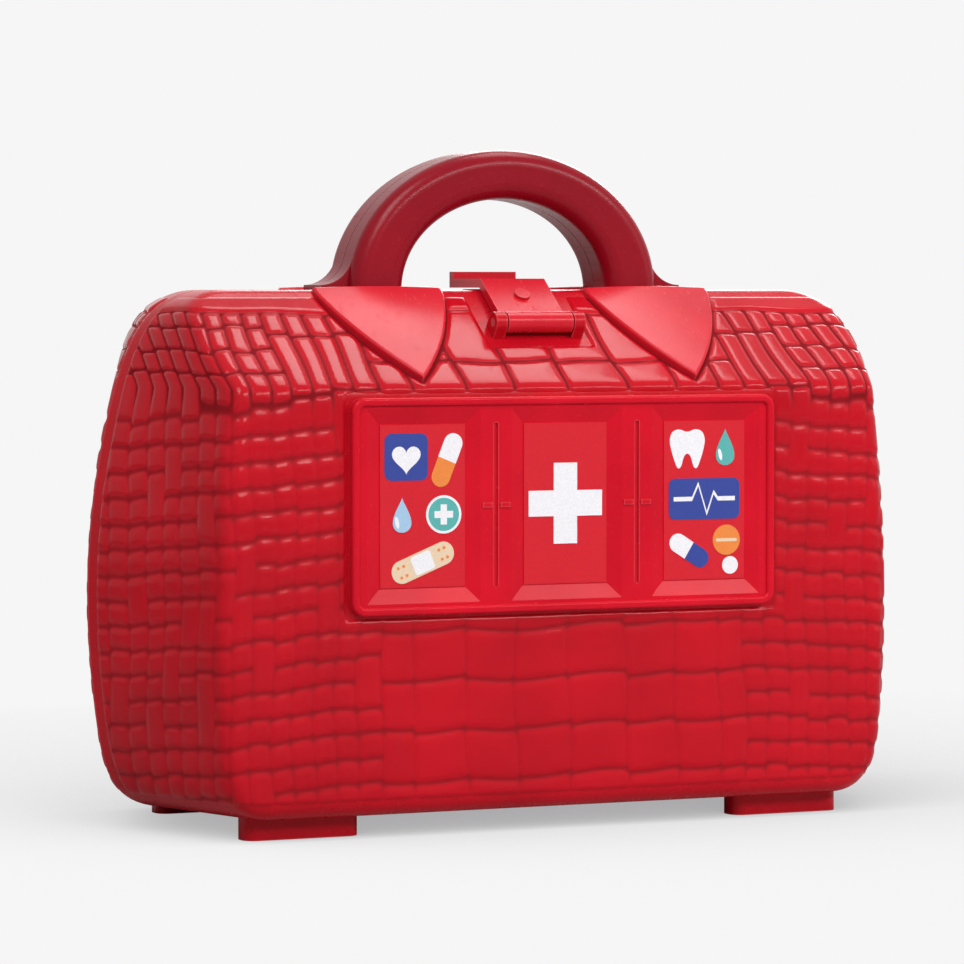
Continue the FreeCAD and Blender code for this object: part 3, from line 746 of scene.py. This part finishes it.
def skin_mesh(name, grid, height, relief):
    """A closed thin skin: fine embossed face, coarse back, joined round the rim."""
    normal = grid_normals(grid)
    face = grid + normal * height[:, :, None]
    back = (grid - normal * BACK_DEPTH)[::BACK_STRIDE, ::BACK_STRIDE]
    verts = np.concatenate([face.reshape(-1, 3), back.reshape(-1, 3)]) * MM
    index = np.arange(relief.size).reshape(relief.shape)
    behind = relief.size + np.arange(back[:, :, 0].size).reshape(back.shape[:2])
    mesh = bpy.data.meshes.new(name)
    mesh.from_pydata(verts.tolist(), [], skin_faces(index, behind))
    attribute = mesh.attributes.new("relief", "FLOAT", "POINT")
    values = np.concatenate([relief.reshape(-1), np.ones(behind.size)])
    attribute.data.foreach_set("value", values.astype(np.float32))
    mesh.polygons.foreach_set("use_smooth", [True] * len(mesh.polygons))
    return mesh


def shell_surface(node, side):
    """Search tree of a shell's surface. A side of -1 turns the rear half to the front."""
    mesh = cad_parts[node].data
    points = [Vector((v.co.x, side * v.co.y, v.co.z)) for v in mesh.vertices]
    return BVHTree.FromPolygons(points, [tuple(p.vertices) for p in mesh.polygons])


def add_skin(name, node, body, is_front):
    """Lays an embossed skin over one half of the case."""
    grid, level, across, to_seam = skin_grid(shell_surface(node, 1 if is_front else -1))
    height, relief = skin_height(grid, level, across, to_seam, is_front)
    skin = skin_mesh(name, grid, height, relief)
    if not is_front:
        for v in skin.vertices:
            v.co.y = -v.co.y
        skin.flip_normals()
    piece = bpy.data.objects.new(name, skin)
    bpy.context.scene.collection.objects.link(piece)
    skin.materials.append(MATERIALS["skin"])
    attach(piece, body)


# Printed labels

# Thickness of the films, in millimetres, and points on their curves.
PRINT_LIFT = 0.10
PRINT_SINK = 0.05
LAYER_STEP = 0.012
CURVE_STEPS = 40
CORNER_STEPS = 8
CAP_POINTS = 17

# Shapes of the pictures.
DROP_TAPER = 1.6
DROP_FULLNESS = 1.25
GLEAM = (0.55, 1.7)
GLEAM_LEAN = 12.0
TOOTH_HALF = [(0.0, 0.40), (0.22, 0.50), (0.42, 0.44), (0.50, 0.22), (0.44, -0.04),
              (0.36, -0.28), (0.27, -0.50), (0.17, -0.46), (0.10, -0.18), (0.0, -0.10)]
TOOTH_ROUNDINGS = 3
CORNER_CUT = 0.25
PULSE_PATH = [(-0.5, 0.0), (-0.2, 0.0), (-0.1, 0.5), (0.04, -0.5), (0.15, 0.22), (0.22, 0.0), (0.5, 0.0)]
AIR_HOLE = 0.42
AIR_HOLES_ALONG = (-7.4, -5.7, 5.7, 7.4)
AIR_HOLES_ASIDE = (-1.4, 1.4)


def moved(points, place):
    """Points moved to a place on the label."""
    return points + np.array(place)


def turned(points, angle, place):
    """Points turned by an angle in degrees and moved."""
    a = math.radians(angle)
    turn = np.array([[math.cos(a), math.sin(a)], [-math.sin(a), math.cos(a)]])
    return moved(np.asarray(points) @ turn, place)


def full_turn():
    """Even steps once round a closed curve."""
    return np.linspace(0.0, 2 * math.pi, CURVE_STEPS, endpoint=False)


def ellipse(half_x, half_z):
    """Outline of an ellipse."""
    at = full_turn()
    return np.stack([half_x * np.cos(at), half_z * np.sin(at)], 1)


def disc(radius):
    """Outline of a circle."""
    return ellipse(radius, radius)


def rounded_box(wide, high, radius):
    """Outline of a rectangle with round corners."""
    points = []
    for corner in range(4):
        middle = (corner + 0.5) * math.pi / 2
        centre_x = math.copysign(wide / 2 - radius, math.cos(middle))
        centre_z = math.copysign(high / 2 - radius, math.sin(middle))
        for step in range(CORNER_STEPS + 1):
            at = corner * math.pi / 2 + step * math.pi / 2 / CORNER_STEPS
            points.append((centre_x + radius * math.cos(at), centre_z + radius * math.sin(at)))
    return np.array(points)


def half_pill(length, wide):
    """Right half of a capsule lying along x."""
    at = np.linspace(-math.pi / 2, math.pi / 2, CAP_POINTS)
    cap = np.stack([length / 2 - wide / 2 + wide / 2 * np.cos(at), wide / 2 * np.sin(at)], 1)
    return np.concatenate([[[0.0, -wide / 2]], cap, [[0.0, wide / 2]]])


def heart(wide):
    """Outline of a heart, from the usual curve, which is 32 wide."""
    at = full_turn()
    x = 16 * np.sin(at) ** 3
    z = 13 * np.cos(at) - 5 * np.cos(2 * at) - 2 * np.cos(3 * at) - np.cos(4 * at)
    return np.stack([x, z], 1) * wide / 32


def drop(wide, high):
    """A drop with its tip up."""
    at = full_turn()
    x = wide / 2 * np.sin(at) * np.sin(at / 2) ** DROP_TAPER * DROP_FULLNESS
    z = high / 2 * np.cos(at)
    return np.stack([x, z], 1)


def tooth(size):
    """A molar: broad crown with two bumps, two roots."""
    other_half = [(-x, z) for x, z in reversed(TOOTH_HALF[1:-1])]
    outline = np.array(TOOTH_HALF + other_half) * size
    for _ in range(TOOTH_ROUNDINGS):
        after = np.roll(outline, -1, axis=0)
        near = (1 - CORNER_CUT) * outline + CORNER_CUT * after
        far = CORNER_CUT * outline + (1 - CORNER_CUT) * after
        outline = np.stack([near, far], 1).reshape(-1, 2)
    return outline


def plus(size, arm):
    """A plain cross."""
    s, a = size / 2, arm / 2
    return np.array([(-a, -s), (a, -s), (a, -a), (s, -a), (s, a), (a, a),
                     (a, s), (-a, s), (-a, a), (-s, a), (-s, -a), (-a, -a)])


def pulse(wide, high, line):
    """A heart-beat line of even thickness."""
    path = np.array(PULSE_PATH) * np.array([wide, high])
    half_line = np.array([0.0, line / 2])
    return np.concatenate([path + half_line, path[::-1] - half_line])


def pill(length, wide, angle, place, colours):
    """A two-coloured capsule."""
    half = half_pill(length, wide)
    return [(colours[0], turned(half, angle, place)), (colours[1], turned(half, angle + 180, place))]


def plaster(angle, place):
    """A sticking plaster with its pad and air holes."""
    strip = rounded_box(wide=19.6, high=6.4, radius=3.1)
    pad = rounded_box(wide=6.2, high=5.3, radius=0.8)
    shapes = [("cream", turned(strip, angle, place)), ("white", turned(pad, angle, place))]
    for along in AIR_HOLES_ALONG:
        for aside in AIR_HOLES_ASIDE:
            hole = moved(disc(AIR_HOLE), (along, aside))
            shapes.append(("orange", turned(hole, angle, place)))
    return shapes


def left_pictures():
    """A heart on a square, a capsule, a badge with a cross, a drop and a plaster."""
    badge = (6.3, -2.4)
    shapes = [("blue", moved(rounded_box(wide=13.0, high=13.0, radius=2.2), (-4.9, 13.6))),
              ("white", moved(heart(wide=8.6), (-4.9, 13.3)))]
    shapes += pill(length=15.5, wide=5.6, angle=68.0, place=(7.3, 12.6), colours=("white", "orange"))
    shapes += [("white", moved(disc(radius=5.3), badge)),
               ("teal", moved(disc(radius=4.6), badge)),
               ("white", moved(plus(size=5.6, arm=1.9), badge)),
               ("sky", moved(drop(wide=6.4, high=9.6), (-6.2, -2.4))),
               ("white", turned(ellipse(*GLEAM), GLEAM_LEAN, (-7.7, -4.4)))]
    return shapes + plaster(angle=22.0, place=(0.0, -15.6))


def right_pictures():
    """A tooth, a drop, a heart-beat line on a screen, a capsule and two tablets."""
    screen, tablet = (0.0, 0.4), (7.0, -11.4)
    shapes = [("white", moved(tooth(size=11.4), (-5.4, 14.6))),
              ("teal", moved(drop(wide=6.8, high=10.4), (6.6, 15.0))),
              ("white", turned(ellipse(*GLEAM), GLEAM_LEAN, (5.0, 12.9))),
              ("blue", moved(rounded_box(wide=22.4, high=11.6, radius=2.0), screen)),
              ("white", moved(pulse(wide=19.4, high=8.4, line=1.25), screen))]
    shapes += pill(length=13.6, wide=5.4, angle=-32.0, place=(-4.8, -14.2), colours=("blue", "white"))
    shapes += [("orange", moved(disc(radius=4.3), tablet)),
               ("cream", moved(rounded_box(wide=6.6, high=0.9, radius=0.3), tablet)),
               ("white", moved(disc(radius=2.5), (8.2, -18.6)))]
    return shapes


def add_film(mesh, points, centre_x, front, back):
    """Adds one flat shape with its thickness to a mesh, and returns its faces."""
    loops = []
    for y in (front, back):
        places = [Vector((centre_x + x, y, LABEL_CENTRE_Z + z)) * MM for x, z in points]
        loops.append([mesh.verts.new(place) for place in places])
    faces = [mesh.faces.new(loops[0]), mesh.faces.new(loops[1][::-1])]
    for k in range(len(points)):
        after = (k + 1) % len(points)
        faces.append(mesh.faces.new((loops[0][after], loops[0][k], loops[1][k], loops[1][after])))
    return faces


def print_mesh(name, centre_x, shapes):
    """Mesh of one label's print: each shape is a thin film over those before it."""
    mesh = bmesh.new()
    colours = list(dict.fromkeys(colour for colour, _ in shapes))
    label_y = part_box("cross_sticker")[0].y / MM
    for layer, (colour, points) in enumerate(shapes):
        front = label_y - PRINT_LIFT - LAYER_STEP * layer
        for face in add_film(mesh, points, centre_x, front, label_y + PRINT_SINK):
            face.material_index = colours.index(colour)
    mesh.normal_update()
    bmesh.ops.triangulate(mesh, faces=[f for f in mesh.faces if len(f.verts) > 4])
    bmesh.ops.recalc_face_normals(mesh, faces=mesh.faces)
    data = bpy.data.meshes.new(name)
    mesh.to_mesh(data)
    mesh.free()
    for colour in colours:
        data.materials.append(MATERIALS[colour])
    return data


def add_print(name, centre_x, shapes):
    """Lays a print on one label."""
    piece = bpy.data.objects.new(name, print_mesh(name, centre_x, shapes))
    bpy.context.scene.collection.objects.link(piece)
    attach(piece, "front")


def add_prints():
    """Small pictures of a first-aid kind on the side labels, a plain cross on the middle one."""
    add_print("left_label_print", -WINDOW_SPACING, left_pictures())
    add_print("cross_label_print", 0.0, [("white", plus(size=22.6, arm=7.2))])
    add_print("right_label_print", WINDOW_SPACING, right_pictures())


# Stage

FLOOR_SIZE = 8.0
FLOOR_DARK = (0.48, 0.48, 0.49)
FLOOR_LIGHT = (0.54, 0.54, 0.55)
SHADOW_TONE = (0.36, 0.35, 0.36)
SHADOW_REACH = 0.32
SHADOW_SAMPLES = 12
SHADOW_RANGE = (0.0, 0.98)
AMBIENT = 0.20
BACKDROP = 0.92
LIGHT_FROM = (-0.45, -0.62, 1.0)
SUN_STRENGTH = 1.1
SUN_SPREAD_DEGREES = 24.0

# Soft lights: name, place, aim, size and power.
SOFTBOXES = [
    ("back", (0.9, 1.3, 0.9), (0.0, 0.0, 0.1), (0.8, 0.8), 13.0),
    ("key", (-0.75, -1.2, 1.15), (0.0, 0.0, 0.1), (0.55, 0.55), 6.0),
    ("fill", (1.3, -0.9, 0.6), (0.0, 0.0, 0.1), (0.7, 0.9), 1.8),
    ("overhead", (0.43, 0.10, 1.25), (0.0, 0.0, 0.12), (0.62, 0.36), 4.6),
    ("strip", (0.53, -1.08, 0.68), (0.0, 0.0, 0.1), (1.1, 0.20), 8.5),
]

CAMERA_AZIMUTH = -24.0
CAMERA_ELEVATION = 2.5
CAMERA_DISTANCE = 1.3
CAMERA_LENS = 168.0
CAMERA_ASIDE = -0.004


def choose(tree, factor, first, second):
    """Mixes two shaders."""
    node = tree.nodes.new("ShaderNodeMixShader")
    tree.links.new(factor, node.inputs["Fac"])
    tree.links.new(first.outputs[0], node.inputs[1])
    tree.links.new(second.outputs[0], node.inputs[2])
    return node


def floor_shadow(tree):
    """Tone of the floor, darker where the case stands between it and the light."""
    light = Vector(LIGHT_FROM).normalized()
    towards = tree.nodes.new("ShaderNodeCombineXYZ")
    for axis in range(3):
        towards.inputs[axis].default_value = light[axis]
    shadow = tree.nodes.new("ShaderNodeAmbientOcclusion")
    shadow.samples = SHADOW_SAMPLES
    shadow.inputs["Distance"].default_value = SHADOW_REACH
    tree.links.new(towards.outputs["Vector"], shadow.inputs["Normal"])
    return ramp(tree, shadow.outputs["AO"], SHADOW_TONE, WHITE, SHADOW_RANGE)


def add_floor():
    """A pale floor that takes the case's soft shadow. What swings below it stays in sight through it."""
    bpy.ops.mesh.primitive_plane_add(size=FLOOR_SIZE, location=(0.0, 0.0, 0.0))
    floor = bpy.context.object
    floor.name = "floor"
    material, tree, shader = new_material("floor_paper")
    tree.nodes.remove(shader)
    path = tree.nodes.new("ShaderNodeLightPath")
    paper = tree.nodes.new("ShaderNodeBsdfDiffuse")
    tree.links.new(ramp(tree, noise(tree, *FLOOR_CLOUDS), FLOOR_DARK, FLOOR_LIGHT), paper.inputs["Color"])
    clear = tree.nodes.new("ShaderNodeBsdfTransparent")
    film = tree.nodes.new("ShaderNodeBsdfTransparent")
    tree.links.new(floor_shadow(tree), film.inputs["Color"])
    lit = choose(tree, path.outputs["Is Shadow Ray"], paper, clear)
    seen = choose(tree, path.outputs["Is Camera Ray"], lit, film)
    tree.links.new(seen.outputs["Shader"], tree.nodes["Material Output"].inputs["Surface"])
    floor.data.materials.append(material)


def add_world():
    """Low even light all round, and a pale backdrop for the camera and for reflections."""
    world = bpy.data.worlds.new("studio")
    world.use_nodes = True
    bpy.context.scene.world = world
    tree = world.node_tree
    background = tree.nodes["Background"]
    path = tree.nodes.new("ShaderNodeLightPath")
    seen = path.outputs["Is Camera Ray"]
    for kind in ("Is Glossy Ray", "Is Transmission Ray"):
        seen = combine(tree, "MAXIMUM", seen, path.outputs[kind])
    tree.links.new(spread(tree, seen, (AMBIENT, BACKDROP)), background.inputs["Strength"])
    background.inputs["Color"].default_value = (*WHITE, 1.0)


def add_softbox(name, place, target, size, power):
    """A rectangular soft light aimed at a point."""
    lamp = bpy.data.lights.new(name, "AREA")
    lamp.shape = "RECTANGLE"
    lamp.size, lamp.size_y = size
    lamp.energy = power
    holder = bpy.data.objects.new(name, lamp)
    holder.location = place
    holder.rotation_mode = "QUATERNION"
    holder.rotation_quaternion = (Vector(target) - Vector(place)).to_track_quat("-Z", "Y")
    bpy.context.scene.collection.objects.link(holder)


def add_sun():
    """An even soft light from one direction."""
    lamp = bpy.data.lights.new("sky_panel", "SUN")
    lamp.energy = SUN_STRENGTH
    lamp.angle = math.radians(SUN_SPREAD_DEGREES)
    holder = bpy.data.objects.new("sky_panel", lamp)
    holder.rotation_mode = "QUATERNION"
    holder.rotation_quaternion = Vector(LIGHT_FROM).to_track_quat("Z", "Y")
    bpy.context.scene.collection.objects.link(holder)


def add_camera():
    """The camera, low and to the left of the front, aimed close to the middle of the case."""
    low, high = cad_box
    centre = (low + high) / 2
    turn, rise = math.radians(CAMERA_AZIMUTH), math.radians(CAMERA_ELEVATION)
    back = Vector((math.sin(turn) * math.cos(rise), -math.cos(turn) * math.cos(rise), math.sin(rise)))
    data = bpy.data.cameras.new("camera")
    data.lens = CAMERA_LENS
    camera = bpy.data.objects.new("camera", data)
    aside = Vector((math.cos(turn), math.sin(turn), 0.0)) * CAMERA_ASIDE
    camera.location = centre + aside + back * CAMERA_DISTANCE
    camera.rotation_mode = "QUATERNION"
    camera.rotation_quaternion = (-back).to_track_quat("-Z", "Y")
    bpy.context.scene.collection.objects.link(camera)
    bpy.context.scene.camera = camera


bpy.context.scene.view_settings.view_transform = "Standard"
add_camera()
dress_nodes()
round_edges()
add_skin("front_skin", "front_shell", "front", True)
add_skin("rear_skin", "rear_shell", "rear", False)
add_prints()
add_floor()
add_world()
add_sun()
for softbox in SOFTBOXES:
    add_softbox(*softbox)
